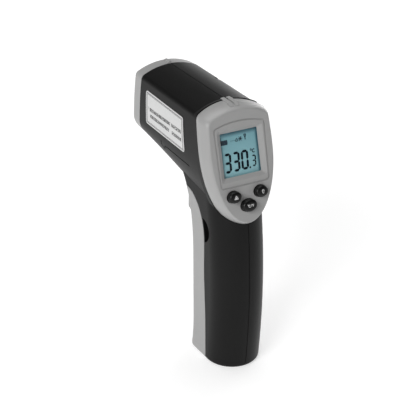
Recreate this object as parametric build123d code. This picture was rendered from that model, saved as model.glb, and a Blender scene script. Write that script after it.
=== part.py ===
from build123d import *
import os
from math import cos, radians, sin

# Hand-held infrared thermometer, pistol shape.
# +Y is the aiming direction, +X the user's right, +Z up, and X = 0 the mirror plane.
# The origin is the centre of the grip's flat end face.  All sizes are in millimetres.

os.makedirs("parts", exist_ok=True)

# ---- driving dimensions ----
CROWN_Z = 152.0        # top of the barrel above the grip's end face
NOSE_Y = 70.7          # seam between the barrel shells and the nose ring
NOSE_LENGTH = 8.9      # length of the nose ring
FACE_TOP_Y = 9.6       # where the display face's seam plane meets the crown
FACE_TILT = 15.34      # lean of the display face, degrees
BARREL_HALF = 19.8     # half width of the barrel at its waist
GRIP_HALF = 15.8       # half width of the grip
WALL = 2.0             # moulded wall thickness
SEAM = 0.05            # half of the hairline between the two shells
GAP = 0.25             # clearance between moving plastic parts
SEAT_GAP = 0.3         # clearance round the display bezel
FACE_DEPTH = 10.5      # height of the display bezel above its seam plane

LENS_Z = 126.0         # height of the infrared axis
LASER_Z = 142.0        # height of the laser axis
TRIGGER_Y = 20.0       # trigger pivot
TRIGGER_Z = 102.5
TRIGGER_HALF = 6.5     # half width of the trigger
HINGE_R = 2.6          # knuckle radius of the battery door's hinge
HINGE_Y = 16.6
HINGE_Z = HINGE_R
DOOR_TOP_Z = 99.8      # top edge of the battery door
SLOT_Z = 75.8          # foot of the door's slot for the trigger
NOTCH_Y = 5.0          # centre of the finger notches beside the door
NOTCH_R = 7.1
CELL_R = 5.2           # AAA cell
CELL_LENGTH = 44.5
CELL_X = 5.6           # half spacing of the two cells
CELL_Y = 5.2
CELL_Z = 24.5          # foot of the cells
BOARD_LOW = 0.6        # main board, measured from the face's seam plane
BOARD_THICK = 1.6
SCREW_R = 1.25
FOOT_ROUND = 2.4       # rounding of the grip's foot edge
BIG = 200.0

# Case screws as (y, z): barrel top, barrel keel, neck, behind the trigger, grip foot.
SCREWS = [(46.0, 146.0), (59.0, 109.5), (30.0, 113.0), (-8.5, 79.0), (-8.5, 13.0)]
# Oval keys on the face as (x, q, half width, half height); q runs up the face from its top.
KEYS = {
    "laser": (-8.3, -50.0, 3.9, 3.2),
    "backlight": (8.3, -50.0, 3.9, 3.2),
    "units": (0.0, -56.1, 4.5, 3.4),
}
DISPLAY_Q = -27.8      # centre of the display on the face
DISPLAY_HALF_X = 11.4  # half of the visible display
DISPLAY_HALF_Q = 11.9

# ---- reference planes ----
TILT = radians(FACE_TILT)
FACE = Plane(
    origin=(0, FACE_TOP_Y, CROWN_Z), x_dir=(1, 0, 0), z_dir=(0, -cos(TILT), sin(TILT))
)
NOSE = Plane(origin=(0, NOSE_Y, CROWN_Z), x_dir=(1, 0, 0), z_dir=(0, -1, 0))
SIDE = Plane(origin=(0, 0, 0), x_dir=(0, 1, 0), z_dir=(1, 0, 0))


def face_at(depth):
    """The display face's plane, moved outward by depth."""
    return FACE.offset(depth)


def section(half, waist, keel, shoulder, crown=0.0, round_r=3.6, inset=0.0):
    """Barrel outline: arched top, round shoulders, bowed sides and an elliptical keel."""
    side_x = half - inset
    shoulder_x = shoulder[0] - inset
    shoulder_y = shoulder[1] - inset
    top = ThreePointArc(
        (shoulder_x, shoulder_y), (0, crown - inset), (-shoulder_x, shoulder_y)
    )
    right = TangentArc((side_x, waist), (shoulder_x, shoulder_y), tangent=(0, 1))
    left = TangentArc((-side_x, waist), (-shoulder_x, shoulder_y), tangent=(0, 1))
    bottom = EllipticalCenterArc((0, waist), side_x, keel - inset, start_angle=180, arc_size=180)
    flat = make_face([bottom, right, top, left])
    corners = flat.vertices().sort_by(Axis.Y)[-2:]
    return fillet(corners, radius=max(round_r - inset, 0.8))


def nose_section(inset=0.0):
    return section(BARREL_HALF, -31.0, 14.0, (18.4, -5.0), -0.3, inset=inset)


def seam_section(inset=0.0):
    return section(BARREL_HALF, -27.0, 41.3, (18.7, -5.4), 0.0, inset=inset)


def barrel(inset=0.0):
    """The barrel from the nose seam to the tilted face seam."""
    return loft([NOSE * nose_section(inset), FACE * seam_section(inset)], ruled=True)


# Grip stations as (z, rear y, front y), foot first.
GRIP = [
    (0.0, -18.4, 19.2),
    (30.0, -20.2, 17.8),
    (60.0, -19.6, 19.0),
    (86.0, -16.8, 22.4),
    (98.0, -14.6, 27.0),
    (108.0, -12.0, 34.0),
]


def grip_section(rear, front, inset=0.0):
    """Grip outline: a round back and a front with rounded corners."""
    half = GRIP_HALF - inset
    rear_y = rear + inset
    front_y = front - inset
    corner = 6.0 - inset
    back = ThreePointArc((-half, rear_y + half), (0, rear_y), (half, rear_y + half))
    right = Line((half, rear_y + half), (half, front_y - corner))
    right_corner = RadiusArc(
        (half, front_y - corner), (half - corner, front_y), -corner
    )
    front_line = Line((half - corner, front_y), (corner - half, front_y))
    left_corner = RadiusArc(
        (corner - half, front_y), (-half, front_y - corner), -corner
    )
    left = Line((-half, front_y - corner), (-half, rear_y + half))
    return make_face([back, right, right_corner, front_line, left_corner, left])


def grip(inset=0.0):
    """The grip from its end face up into the barrel."""
    stations = [Plane.XY.offset(z) * grip_section(rear, front, inset) for z, rear, front in GRIP]
    return loft(stations)


def rounded_grip():
    """The grip with its foot edge rounded."""
    solid = grip()
    foot = solid.edges().filter_by_position(Axis.Z, -0.01, 0.01)
    return fillet(foot, radius=FOOT_ROUND)


def x_cylinder(y, z, radius, x_low, x_high):
    """A cylinder along X between two x values."""
    disc = Plane(origin=(x_low, y, z), x_dir=(0, 1, 0), z_dir=(1, 0, 0)) * Circle(radius)
    return extrude(disc, amount=x_high - x_low)


def y_cylinder(x, z, radius, y_low, y_high):
    """A cylinder along Y between two y values."""
    disc = Plane(origin=(x, y_low, z), x_dir=(1, 0, 0), z_dir=(0, 1, 0)) * Circle(radius)
    return extrude(disc, amount=y_high - y_low)


def block(x, y, z):
    """A box given by its low and high ends along each axis."""
    size = (x[1] - x[0], y[1] - y[0], z[1] - z[0])
    centre = ((x[0] + x[1]) / 2, (y[0] + y[1]) / 2, (z[0] + z[1]) / 2)
    return Pos(*centre) * Box(*size)


def face_disc(x, q, radius, low, high):
    """A cylinder standing on the display face between two depths."""
    return extrude(face_at(low) * (Pos(x, q) * Circle(radius)), amount=high - low)


def face_oval(x, q, half_x, half_q, low, high):
    """An oval cylinder standing on the display face between two depths."""
    return extrude(face_at(low) * (Pos(x, q) * Ellipse(half_x, half_q)), amount=high - low)


def face_block(x, q, width, height, low, high, corner=0.0):
    """A rectangular block standing on the display face between two depths."""
    flat = Rectangle(width, height)
    if corner:
        flat = RectangleRounded(width, height, corner)
    return extrude(face_at(low) * (Pos(x, q) * flat), amount=high - low)


def side_prism(flat, half=BIG):
    """A side-view outline extruded both ways from the mirror plane."""
    return extrude(SIDE * flat, amount=half, both=True)


def group(solids):
    """Several separate solids kept in one node."""
    return Compound(children=list(solids))


# ---- battery door region, in side view ----
DOOR_EDGE = [(-1.1, 2.6), (0.2, 30.0), (2.5, 60.0), (5.7, 86.2), (10.3, 93.3), (16.8, 98.2)]


def door_region(gap=0.0):
    """Side view of everything in front of the door's edge, moved in by gap."""
    low = -6.0
    front = 60.0
    edge = [(y + gap, z - gap) for y, z in DOOR_EDGE]
    tip = (21.9 + gap, 99.5 - gap)
    top = (front, DOOR_TOP_Z - gap)
    outline = [
        Line((edge[0][0], low), edge[0]),
        Spline(*edge, tip),
        Line(tip, top),
        Line(top, (front, low)),
        Line((front, low), (edge[0][0], low)),
    ]
    return side_prism(make_face(outline))


def side_groove():
    """The engraved hook and line below the label, on both sides."""
    depth = 0.45
    hook = FilletPolyline(
        (46.0, 118.2), (46.6, 115.0), (43.2, 113.6), (42.2, 116.0), (14.7, 115.1), radius=0.8
    )
    band = side_prism(trace(hook, line_width=0.6), 30.0)
    return band - barrel(depth)


def seam_groove():
    """The fine line left round the case where the two shells meet."""
    slab = block((-0.18, 0.18), (-BIG, BIG), (2.6, BIG))
    return slab - barrel(0.3) - grip(0.3) - door_region()


def case_solid():
    """Both shells' outer form, before it is hollowed."""
    lip = extrude(FACE * seam_section(-0.55), amount=-3.2)
    return barrel() + lip + (rounded_grip() - door_region())


def case_cavity():
    """The hollow inside both shells."""
    floor = 2.2
    low = block((-BIG, BIG), (-BIG, BIG), (-10.0, floor))
    return barrel(WALL) + (grip(WALL) - low)


def case_blank():
    """The hollow case with its ribs and bosses, before it is split at the mirror plane."""
    outer = case_solid()
    hollow = case_cavity()
    wall = outer - hollow

    # saddles that carry the lens tube, and ribs behind the battery tray
    saddles = block((-BIG, BIG), (50.5, 52.0), (90.0, LENS_Z))
    saddles += block((-BIG, BIG), (63.5, 65.0), (90.0, LENS_Z))
    saddles = (saddles & barrel(WALL)) - y_cylinder(0, LENS_Z, 9.05, 40, 80)
    ribs = block((-BIG, BIG), (-BIG, -2.0), (27.0, 28.4))
    ribs += block((-BIG, BIG), (-BIG, -2.0), (62.0, 63.4))
    ribs = ribs & grip(WALL)
    wall = wall + saddles + ribs

    # screw bosses
    for y, z in SCREWS:
        wall += x_cylinder(y, z, 3.0, -30, 30) & outer

    # ears that hold the trigger's pin
    for side in (-1, 1):
        near = side * (TRIGGER_HALF + 0.7)
        low, high = sorted((near, side * 30.0))
        wall += x_cylinder(TRIGGER_Y, TRIGGER_Z, 3.2, low, high) & outer

    # finger notches beside the door, each backed by a pad and rimmed along the door's edge
    for side in (-1, 1):
        low, high = sorted((side * 11.6, side * 14.6))
        pad = (x_cylinder(NOTCH_Y, 80.2, NOTCH_R + 1.1, low, high) & grip(0.5)) - door_region(-0.1)
        wall += pad
        low, high = sorted((side * 13.2, side * 30.0))
        wall -= x_cylinder(NOTCH_Y, 80.2, NOTCH_R, low, high) - door_region(-0.6)

    # floor that closes the foot between the door's side walls, with the hinge ears
    rear, front = GRIP[0][1:]
    floor = extrude(Plane.XY * grip_section(rear, front, WALL + 0.35), amount=2.2)
    wall += floor & block((-BIG, BIG), (-4.0, HINGE_Y - HINGE_R - 0.5), (0, 5))
    for side in (-1, 1):
        low, high = sorted((side * 6.4, side * 9.4))
        ear = x_cylinder(HINGE_Y, HINGE_Z, HINGE_R, low, high)
        ear += block((low, high), (HINGE_Y - 6.0, HINGE_Y), (0.0, 2 * HINGE_R))
        wall += ear
    wall -= x_cylinder(HINGE_Y, HINGE_Z, 1.02, -9.5, 9.5)

    # seat for the display bezel, trigger pin bore and outside engraving
    wall -= bezel_seat()
    wall -= x_cylinder(TRIGGER_Y, TRIGGER_Z, 1.52, -12.0, 12.0)
    slot = TRIGGER_HALF + 0.6
    wall -= block((-slot, slot), (15.8, 27.2), (88.0, 100.5))
    wall -= seam_groove()
    return wall - side_groove()


def screw_cuts(side):
    """Pilot holes on the left, clearance holes with counterbores on the right."""
    cuts = []
    for y, z in SCREWS:
        if side < 0:
            cuts.append(x_cylinder(y, z, SCREW_R + 0.03, -9.6, 1.0))
        else:
            cuts.append(x_cylinder(y, z, SCREW_R + 0.25, -1.0, 10.5))
            cuts.append(x_cylinder(y, z, 2.9, 10.0, 30.0))
    return cuts


def shell(blank, side):
    """One case half."""
    low, high = sorted((side * SEAM, side * 60.0))
    half = blank & block((low, high), (-BIG, BIG), (-BIG, BIG))
    if side < 0:
        # seat of the trigger spring
        half += block((-18.6, 3.4), (4.6, 10.3), (110.5, 112.3)) & barrel(0.5)
    else:
        # ledge over the trigger board
        half += block((4.0, 18.6), (11.0, 17.0), (112.2, 113.8)) & barrel(0.5)
    for cut in screw_cuts(side):
        half -= cut

    # tongue and groove down the back of the grip
    if side < 0:
        half += (grip(0.7) - grip(1.3)) & block((-0.6, 0.5), (-BIG, -8.0), (1.6, 84.0))
    else:
        half -= (grip(0.6) - grip(1.4)) & block((0.0, 0.6), (-BIG, -8.0), (1.4, 84.2))
    return half


def nose_ring():
    """The grey ring round the nose, with its spigot and the front sight."""
    tip = NOSE.offset(-NOSE_LENGTH)
    ring = loft([NOSE * nose_section(), tip * nose_section(0.5)], ruled=True)
    ring = fillet(ring.faces().sort_by(Axis.Y)[-1].edges(), radius=1.6)
    spigot = extrude(NOSE * nose_section(WALL + 0.1), amount=4.0)
    ring = ring + spigot
    pocket = extrude(NOSE.offset(6.0) * nose_section(WALL + 1.5), amount=-(NOSE_LENGTH + 7.0))
    ring -= pocket
    ring -= extrude(NOSE * nose_section(WALL + 0.7), amount=-6.6)
    sight = block((-1.1, 1.1), (71.4, 76.8), (149.6, 152.5))
    sight = fillet(sight.edges().filter_by(Axis.Y).sort_by(Axis.Z)[-2:], radius=0.6)
    sight = fillet(sight.faces().sort_by(Axis.Z)[-1].edges().filter_by(Axis.X), radius=0.6)
    return ring + sight


def aperture_plate():
    """Black plate recessed in the nose ring, with the lens cone and the laser hole."""
    plate = extrude(NOSE.offset(-3.9) * nose_section(WALL + 0.8), amount=-2.6)
    back = Plane(origin=(0, NOSE_Y + 3.8, LENS_Z), x_dir=(1, 0, 0), z_dir=(0, 1, 0))
    cone = loft([back * Circle(6.4), back.offset(2.8) * Circle(8.6)], ruled=True)
    return plate - cone - y_cylinder(0, LASER_Z, 2.3, NOSE_Y, NOSE_Y + 10)


def lens_tube():
    """Tube behind the nose that carries the lens, with a square flange at its back."""
    tube = y_cylinder(0, LENS_Z, 9.0, 46.0, 73.6)
    tube += block((-10.5, 10.5), (46.0, 48.0), (LENS_Z - 10.5, LENS_Z + 10.5))
    tube -= y_cylinder(0, LENS_Z, 6.0, 40.0, 80.0)
    tube -= y_cylinder(0, LENS_Z, 7.5, 70.4, 80.0)
    for x, z in sensor_screw_places():
        tube -= y_cylinder(x, z, 0.92, 45.0, 49.0)
    return tube


def sensor_screw_places():
    return [(-8.4, LENS_Z + 8.4), (8.4, LENS_Z - 8.4)]


def lens():
    return fillet(y_cylinder(0, LENS_Z, 7.4, 70.5, 71.9).edges(), radius=0.3)


def lens_retainer():
    return y_cylinder(0, LENS_Z, 7.42, 72.0, 73.4) - y_cylinder(0, LENS_Z, 6.3, 71.0, 75.0)


def thermopile():
    """Metal-can infrared sensor with a flange and a window recess."""
    can = y_cylinder(0, LENS_Z, 4.6, 45.8, 46.4) + y_cylinder(0, LENS_Z, 4.1, 46.4, 50.8)
    return can - y_cylinder(0, LENS_Z, 2.4, 50.5, 52.0)


def sensor_board():
    board = block((-10.5, 10.5), (44.2, 45.8), (LENS_Z - 10.5, LENS_Z + 10.5))
    for x, z in sensor_screw_places():
        board -= y_cylinder(x, z, 0.95, 40.0, 50.0)
    return board


def sensor_screws():
    screws = []
    for x, z in sensor_screw_places():
        head = y_cylinder(x, z, 1.6, 43.2, 44.2)
        screws.append(head + y_cylinder(x, z, 0.9, 44.0, 47.8))
    return group(screws)


def laser_module():
    """Brass laser pointer module with a small front aperture."""
    body = y_cylinder(0, LASER_Z, 3.2, 58.0, 74.2)
    return body - y_cylinder(0, LASER_Z, 1.2, 72.8, 75.0)


def laser_holder():
    """Moulded block that carries the laser on top of the lens tube."""
    holder = block((-5.2, 5.2), (62.0, 70.0), (132.0, 147.0))
    holder -= y_cylinder(0, LENS_Z, 9.02, 60.0, 80.0)
    return holder - y_cylinder(0, LASER_Z, 3.22, 60.0, 80.0)


# Bezel stations as (depth, half width, crown, shoulder, keel): it bulges past the case and
# then draws in to a narrow rounded edge round the face.
BEZEL = [
    (0.05, 20.3, 0.0, (19.2, -5.6), 40.6),
    (2.2, 20.95, -0.5, (19.8, -6.0), 40.4),
    (4.5, 21.2, -1.1, (20.0, -6.6), 40.3),
    (7.0, 20.75, -2.2, (19.7, -7.3), 39.9),
    (8.8, 20.1, -3.2, (19.2, -8.1), 39.5),
    (9.8, 19.5, -3.9, (18.6, -8.7), 39.1),
    (FACE_DEPTH, 18.5, -4.8, (17.7, -9.4), 38.4),
]


def bezel_body():
    """Outer form of the display bezel, drawn in towards its face."""
    stations = []
    for depth, half, crown, shoulder, keel in BEZEL:
        outline = section(half, -27.0, keel, shoulder, crown, 4.2)
        stations.append(face_at(depth) * outline)
    return loft(stations)


def bezel_seat():
    """Pocket in the shells that follows the bezel's form with a small gap."""
    stations = []
    for depth, half, crown, shoulder, keel in BEZEL[:6]:
        low = 0.0 if depth < 1.0 else depth
        outline = section(half, -27.0, keel, shoulder, crown, 4.2, -SEAT_GAP)
        stations.append(face_at(low) * outline)
    outer = extrude(stations[-1], amount=30.0)
    return loft(stations) + outer


def bezel_cavity_section(inset=0.0):
    return section(18.3, -27.0, 37.8, (17.2, -7.8), -3.8, 3.0, inset)


BEZEL_SCREWS = [(-12.2, -9.4), (12.2, -9.4), (-13.6, -45.6), (13.6, -45.6)]
BEZEL_ROOF = 7.4       # height of the bezel's hollow


def frame_groove():
    """Arched groove round the display."""
    corner_x = 15.8
    top = ThreePointArc((-corner_x, -12.4), (0, -9.9), (corner_x, -12.4))
    right = Line((corner_x, -12.4), (15.2, -45.2))
    foot = Line((15.2, -45.2), (-15.2, -45.2))
    left = Line((-15.2, -45.2), (-corner_x, -12.4))
    flat = make_face([top, right, foot, left])
    flat = fillet(flat.vertices(), radius=2.0)
    ring = flat - offset(flat, amount=-0.8)
    return extrude(face_at(FACE_DEPTH - 0.4) * ring, amount=1.0)


def rear_bezel():
    """Grey display bezel with its window funnel, key holes, screw posts and sight."""
    body = bezel_body()
    hollow = extrude(face_at(-1.0) * bezel_cavity_section(), amount=BEZEL_ROOF + 1.0)
    body -= hollow
    for x, q in BEZEL_SCREWS:
        body += face_disc(x, q, 1.9, BOARD_LOW + BOARD_THICK + 0.1, BEZEL_ROOF + 0.5)
        body -= face_disc(x, q, 0.88, BOARD_LOW, 7.0)
    wide = 2 * DISPLAY_HALF_X + 0.2
    tall = 2 * DISPLAY_HALF_Q + 0.2
    outer = face_at(FACE_DEPTH + 0.1) * (Pos(0, DISPLAY_Q - 0.2) * RectangleRounded(28.4, 28.0, 1.6))
    inner = face_at(9.0) * (Pos(0, DISPLAY_Q) * RectangleRounded(wide, tall, 0.6))
    body -= loft([inner, outer], ruled=True)
    body -= face_block(0, DISPLAY_Q, wide, tall, 5.0, 9.2, 0.6)
    body -= face_block(0, DISPLAY_Q, 26.8, 27.6, 5.0, 8.4)
    for x, q, half_x, half_q in KEYS.values():
        body -= face_oval(x, q, half_x + GAP, half_q + GAP, 5.0, 20.0)
    body -= frame_groove()
    for side in (-1, 1):
        low, high = sorted((side * 0.6, side * 2.8))
        profile = Polyline(
            (0.6, 149.4), (1.0, 151.6), (3.6, 153.2), (10.6, 153.2), (11.2, 152.6),
            (8.8, 152.6), (8.8, 149.4), (0.6, 149.4),
        )
        ridge = extrude(Plane.YZ.offset(low) * make_face(profile), amount=high - low)
        body += fillet(ridge.edges().filter_by(Axis.Y).sort_by(Axis.Z)[-2:], radius=0.5)
    return body


def lcd_window():
    return face_block(0, DISPLAY_Q, 26.4, 27.2, 7.5, 8.35)


def lcd_glass():
    return face_block(0, DISPLAY_Q, 25.6, 26.4, 5.3, 7.3)


def lcd_backlight():
    return face_block(0, DISPLAY_Q, 24.4, 21.6, 2.7, 5.1)


def zebra_strips():
    strips = [face_block(0, DISPLAY_Q + side * 12.2, 24.0, 1.6, 2.2, 5.3) for side in (-1, 1)]
    return group(strips)


def lcd_holder():
    """Frame that holds the display and its backlight on the main board."""
    frame = face_block(0, DISPLAY_Q, 28.6, 29.0, 2.3, 7.2)
    return frame - face_block(0, DISPLAY_Q, 25.9, 26.7, 2.0, 8.0)


def main_board():
    board = extrude(face_at(BOARD_LOW) * bezel_cavity_section(0.4), amount=BOARD_THICK)
    for x, q in BEZEL_SCREWS:
        board -= face_disc(x, q, 0.95, 0.0, 5.0)
    return board


def board_screws():
    screws = []
    for x, q in BEZEL_SCREWS:
        head = face_disc(x, q, 1.6, BOARD_LOW - 1.0, BOARD_LOW)
        screws.append(head + face_disc(x, q, 0.85, BOARD_LOW - 0.2, 6.6))
    return group(screws)


def driver_chip():
    """Epoxy-covered chip on the back of the main board."""
    blob = face_disc(0, -28.0, 6.0, BOARD_LOW - 1.8, BOARD_LOW)
    return fillet(blob.faces().sort_by(Axis.Y)[-1].edges(), radius=1.2)


def board_components():
    """Capacitors, a crystal, a memory chip and a transistor on the back of the board."""
    parts = [
        face_block(-10.0, -20.0, 5.0, 4.0, BOARD_LOW - 1.5, BOARD_LOW),
        face_block(10.0, -22.0, 3.2, 7.0, BOARD_LOW - 2.4, BOARD_LOW, 1.5),
        face_block(-9.0, -42.0, 3.0, 1.6, BOARD_LOW - 1.1, BOARD_LOW),
        face_block(8.0, -45.0, 3.0, 1.6, BOARD_LOW - 1.1, BOARD_LOW),
        face_disc(10.5, -36.0, 2.5, BOARD_LOW - 5.0, BOARD_LOW),
        face_disc(-10.5, -33.0, 2.0, BOARD_LOW - 5.0, BOARD_LOW),
    ]
    return group(parts)


SWITCH_TOP = 5.6       # top of a key switch's housing
KEY_FOOT = 6.5         # underside of a key
KEY_TOP = 13.8         # crown of a key


def key_switches():
    """Housings of the three key switches on the front of the board."""
    bodies = []
    for x, q, _, _ in KEYS.values():
        housing = face_block(x, q, 6.0, 6.0, BOARD_LOW + BOARD_THICK, SWITCH_TOP, 0.5)
        bodies.append(housing - face_disc(x, q, 1.65, 3.6, 7.0))
    return group(bodies)


def key_plunger(x, q):
    return face_disc(x, q, 1.6, 4.4, KEY_FOOT)


def key_cap(x, q, half_x, half_q):
    """An oval domed key with a retaining flange."""
    cap = face_oval(x, q, half_x, half_q, KEY_FOOT, KEY_TOP)
    cap = fillet(cap.faces().sort_by(Axis.Y)[0].edges(), radius=1.6)
    return cap + face_oval(x, q, half_x + 0.5, half_q + 0.5, KEY_FOOT, BEZEL_ROOF - 0.1)


def trigger():
    """Trigger with its hub, finger tongue and the arm that works spring and switch."""
    neck = make_face(
        Polyline(
            (16.6, TRIGGER_Z), (17.0, 79.5), (18.6, 77.5), (26.0, 77.5),
            (26.5, 92.9), (25.2, 94.8), (24.2, 98.6), (23.4, TRIGGER_Z), (16.6, TRIGGER_Z),
        )
    )
    front = Spline((35.6, 77.9), (38.3, 81.6), (37.0, 86.6), (38.4, 90.6))
    tongue = make_face(
        [
            Line((22.0, 77.5), (34.6, 77.5)),
            Line((34.6, 77.5), (35.6, 77.9)),
            front,
            Line((38.4, 90.6), (37.6, 91.8)),
            Line((37.6, 91.8), (26.5, 92.9)),
            Line((26.5, 92.9), (22.0, 92.9)),
            Line((22.0, 92.9), (22.0, 77.5)),
        ]
    )
    finger = side_prism(tongue, TRIGGER_HALF)
    plan = Pos(0, 28.7) * RectangleRounded(2 * TRIGGER_HALF, 20.0, 2.6)
    finger = finger & extrude(Pos(0, 0, 70.0) * plan, amount=30.0)
    body = side_prism(neck, TRIGGER_HALF) + finger
    body += x_cylinder(TRIGGER_Y, TRIGGER_Z, 3.4, -TRIGGER_HALF, TRIGGER_HALF)
    body += block((-3.5, 3.5), (5.2, 18.0), (101.3, 103.9))
    return body - x_cylinder(TRIGGER_Y, TRIGGER_Z, 1.55, -10, 10)


def trigger_pin():
    return x_cylinder(TRIGGER_Y, TRIGGER_Z, 1.5, -11.8, 11.8)


SPRING_Y = 7.6
SPRING_TOP = 110.5
PLUNGER_Y = 13.0


def spring_tube(x, y, outer, inner, low, high):
    """Envelope of a coil spring: a plain sleeve of its outer and inner diameter."""
    ring = Pos(x, y, low) * (Circle(outer) - Circle(inner))
    return extrude(ring, amount=high - low)


def trigger_spring():
    return spring_tube(0, SPRING_Y, 2.0, 1.3, 103.9, SPRING_TOP)


def trigger_switch():
    housing = block((-3.0, 3.0), (11.2, 16.0), (105.4, 110.5))
    return housing - Pos(0, PLUNGER_Y, 107.0) * Cylinder(0.95, 5.0)


def switch_plunger():
    return Pos(0, PLUNGER_Y, 105.8) * Cylinder(0.9, 3.6)


def trigger_board():
    return block((-6.5, 6.5), (10.7, 17.7), (110.5, 112.1))


def battery_door():
    """Grey front of the grip: a thin door hinged at the toe, slotted for the trigger."""
    skin = rounded_grip() - grip(WALL)
    skin = skin & door_region(GAP)
    skin -= barrel(-GAP)
    low = block((-BIG, BIG), (-BIG, BIG), (-10.0, 0.3))
    skin -= low
    corner = Pos(2.0, 0.8) * Rectangle(8.0, 3.6) - Pos(HINGE_Y, HINGE_Z) * Circle(17.3)
    skin -= side_prism(corner)
    for side in (-1, 1):
        near, far = sorted((side * 6.1, side * 9.7))
        skin -= x_cylinder(HINGE_Y, HINGE_Z, HINGE_R + 0.3, near, far)
        skin -= block((near, far), (0.0, BIG), (-5.0, HINGE_Z))
    middle = block((-6.1, 6.1), (10.0, BIG), (-5.0, HINGE_Z))
    skin -= middle
    knuckle = x_cylinder(HINGE_Y, HINGE_Z, HINGE_R - 0.1, -6.1, 6.1)
    knuckle += block((-6.1, 6.1), (HINGE_Y, HINGE_Y + 2.0), (HINGE_Z, HINGE_Z + 4.0)) & grip(0.1)
    skin += knuckle
    skin -= x_cylinder(HINGE_Y, HINGE_Z, 1.06, -10.0, 10.0)
    slot = TRIGGER_HALF + 0.6
    skin -= block((-slot, slot), (10.0, BIG), (SLOT_Z, BIG))
    for side in (-1, 1):
        near, far = sorted((side * 12.4, side * 14.2))
        skin += block((near, far), (5.6, 12.0), (88.7, 91.9)) & (grip(0.6) - extra_latch_trim(side))
    return skin


def extra_latch_trim(side):
    """Keeps the latch tab inside the shell's wall behind the door's edge."""
    near, far = sorted((side * 13.5, side * 20.0))
    return block((near, far), (-BIG, 9.6), (80.0, 95.0))


def hinge_pin():
    return x_cylinder(HINGE_Y, HINGE_Z, 1.0, -9.3, 9.3)


TRAY_Z = (20.9, 70.5)  # inside of the battery tray


def battery_tray():
    tray = block((-12.4, 12.4), (-1.8, 7.0), (TRAY_Z[0] - 1.4, TRAY_Z[1] + 1.4))
    tray -= block((-11.2, 11.2), (-0.2, 9.0), TRAY_Z)
    return tray + block((-0.3, 0.3), (-0.5, 2.6), (TRAY_Z[0] - 0.5, TRAY_Z[1] + 0.5))


def cell(x, low, nub_up):
    """AAA cell with its positive nub at one end."""
    body_low = low if nub_up else low + 1.0
    nub_low = low + CELL_LENGTH - 1.2 if nub_up else low
    body = Pos(x, CELL_Y, body_low) * extrude(Circle(CELL_R), amount=CELL_LENGTH - 1.0)
    nub = Pos(x, CELL_Y, nub_low) * extrude(Circle(1.9), amount=1.2)
    return fillet(body.edges(), radius=0.4) + nub


CONTACT = 0.35
SPRING_LENGTH = 4.3


def battery_springs():
    first = spring_tube(-CELL_X, CELL_Y, 3.4, 2.7, TRAY_Z[0] + CONTACT, TRAY_Z[0] + SPRING_LENGTH)
    second = spring_tube(CELL_X, CELL_Y, 3.4, 2.7, TRAY_Z[1] - SPRING_LENGTH, TRAY_Z[1] - CONTACT)
    return group([first, second])


def contact_plates():
    """Single contact plates at the top of the tray."""
    plates = []
    for x in (-CELL_X, CELL_X):
        plates.append(block((x - 4.2, x + 4.2), (0.2, 9.6), (TRAY_Z[1] - CONTACT, TRAY_Z[1])))
    return group(plates)


def bridge_plate():
    """Plate at the foot of the tray that joins the two cells."""
    plate = block((-10.2, 10.2), (0.2, 9.6), (TRAY_Z[0], TRAY_Z[0] + CONTACT))
    return plate - block((-0.4, 0.4), (-1.0, 2.8), (TRAY_Z[0] - 1.0, TRAY_Z[0] + 2.0))


def case_screws():
    """Self-tapping screws that clamp the two shells."""
    screws = []
    for y, z in SCREWS:
        head = x_cylinder(y, z, 2.5, 10.5, 12.3)
        head -= block((11.6, 13.0), (y - 1.5, y + 1.5), (z - 0.3, z + 0.3))
        head -= block((11.6, 13.0), (y - 0.3, y + 0.3), (z - 1.5, z + 1.5))
        screws.append(head + x_cylinder(y, z, SCREW_R, -8.5, 10.8))
    return group(screws)


def label(side):
    """Thin rating label on the flat of the barrel."""
    outline = make_face(Polyline((62.2, 122.6), (18.6, 121.5), (21.9, 140.7), (63.8, 141.6), close=True))
    outline = fillet(outline.vertices(), radius=1.6)
    low, high = sorted((side * 10.0, side * 30.0))
    sheet = side_prism(outline, 30.0) & block((low, high), (-BIG, BIG), (-BIG, BIG))
    return (sheet & barrel(-0.22)) - barrel(-0.02)


def lead(points, radius=0.45):
    """One insulated wire: straight runs joined by arcs as large as the runs allow."""
    runs = [Vector(*b) - Vector(*a) for a, b in zip(points, points[1:])]
    bends = []
    for first, second in zip(runs, runs[1:]):
        half_turn = radians(first.get_angle(second)) / 2
        shorter = min(first.length, second.length)
        bends.append(0.45 * shorter * cos(half_turn) / sin(half_turn))
    path = FilletPolyline(*points, radius=bends)
    start = Plane(origin=points[0], z_dir=runs[0])
    return sweep(start * Circle(radius), path=path)


def on_board(x, q):
    """A solder point on the back of the main board."""
    point = face_at(BOARD_LOW - 0.25).from_local_coords((x, q, 0))
    return (point.X, point.Y, point.Z)


def battery_leads():
    wires = []
    for side in (-1, 1):
        wires.append(
            lead(
                [
                    (side * 5.0, 2.5, TRAY_Z[1] + 1.45),
                    (side * 5.1, 2.2, 80.0),
                    (side * 4.4, 0.8, 87.0),
                    (side * 3.6, -1.6, 93.0),
                    on_board(side * 3.0, -57.0),
                ]
            )
        )
    return group(wires)


def sensor_leads():
    wires = []
    for x in (-3.0, -1.0, 1.0, 3.0):
        wires.append(
            lead(
                [(x, 44.15, 122.0), (x, 34.0, 121.2), (x, 23.0, 119.0), (x, 12.0, 124.0), on_board(x, -20.0)]
            )
        )
    return group(wires)


def laser_leads():
    wires = []
    for side in (-1, 1):
        x = side * 1.3
        wires.append(
            lead(
                [(x, 57.95, 141.6), (x, 48.0, 140.6), (x, 34.0, 139.2), (x, 19.0, 139.6), on_board(x, -12.0)]
            )
        )
    return group(wires)


def trigger_leads():
    wires = []
    for x in (-5.4, -4.0):
        wires.append(
            lead([(x, 12.5, 112.15), (x, 11.4, 116.4), (x, 6.0, 118.4), on_board(x, -38.0)], 0.4)
        )
    return group(wires)


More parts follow.
